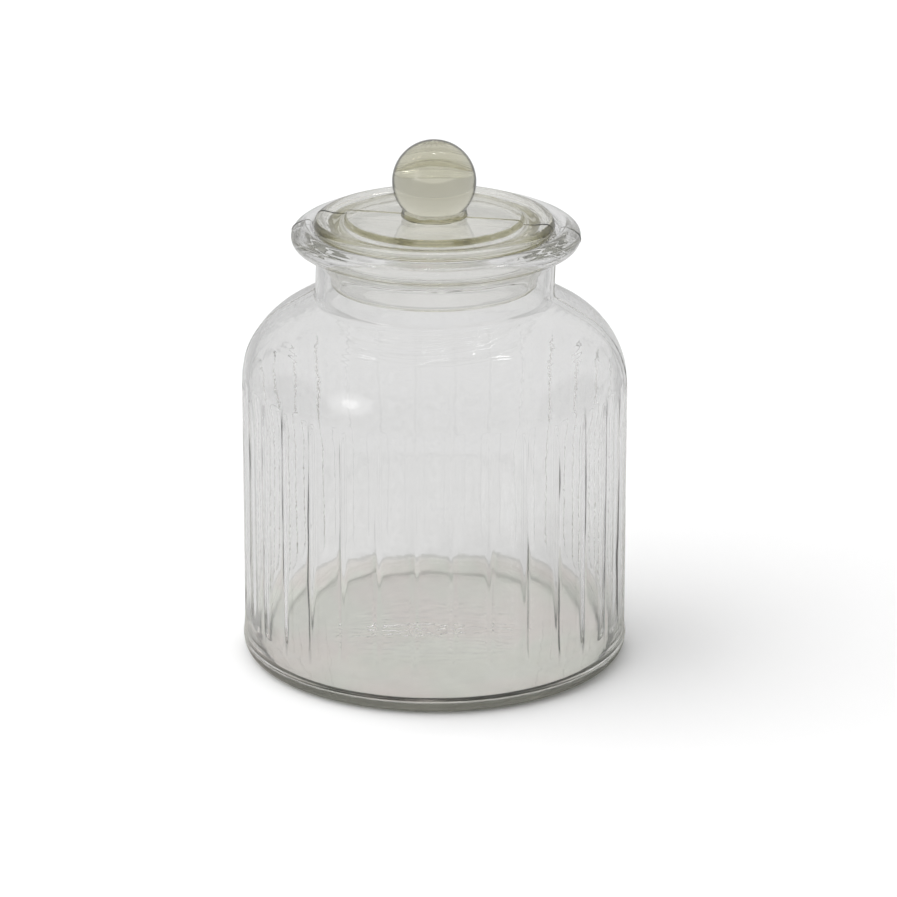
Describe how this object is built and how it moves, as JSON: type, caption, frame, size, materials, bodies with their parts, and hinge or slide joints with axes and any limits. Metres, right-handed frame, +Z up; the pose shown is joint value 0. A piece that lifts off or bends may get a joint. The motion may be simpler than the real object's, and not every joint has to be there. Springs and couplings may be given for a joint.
{
  "type": "lidded glass jar",
  "caption": "Wide round glass storage jar with a fluted body, a short neck with a rolled rim, and a loose ball-knobbed lid that plugs the neck.",
  "frame": {"origin": "centre of the jar's base, on the surface it stands on", "axes": "+Z up along the jar's axis; -Y towards the front; the middle of one flute faces -Y"},
  "size_m": [0.18, 0.18, 0.2483],
  "materials": {
    "jar_glass": "gloss",
    "lid_glass": "gloss",
    "knob_glass": "gloss"
  },
  "bodies": {
    "jar": {"jar": "jar_glass"},
    "lid": {"lid": "lid_glass", "knob": "knob_glass"}
  },
  "joints": [
    {"name": "lid_lift", "type": "slide", "parent": "jar", "child": "lid", "axis": [0, 0, 1], "range_m": [0, 0.15]}
  ]
}
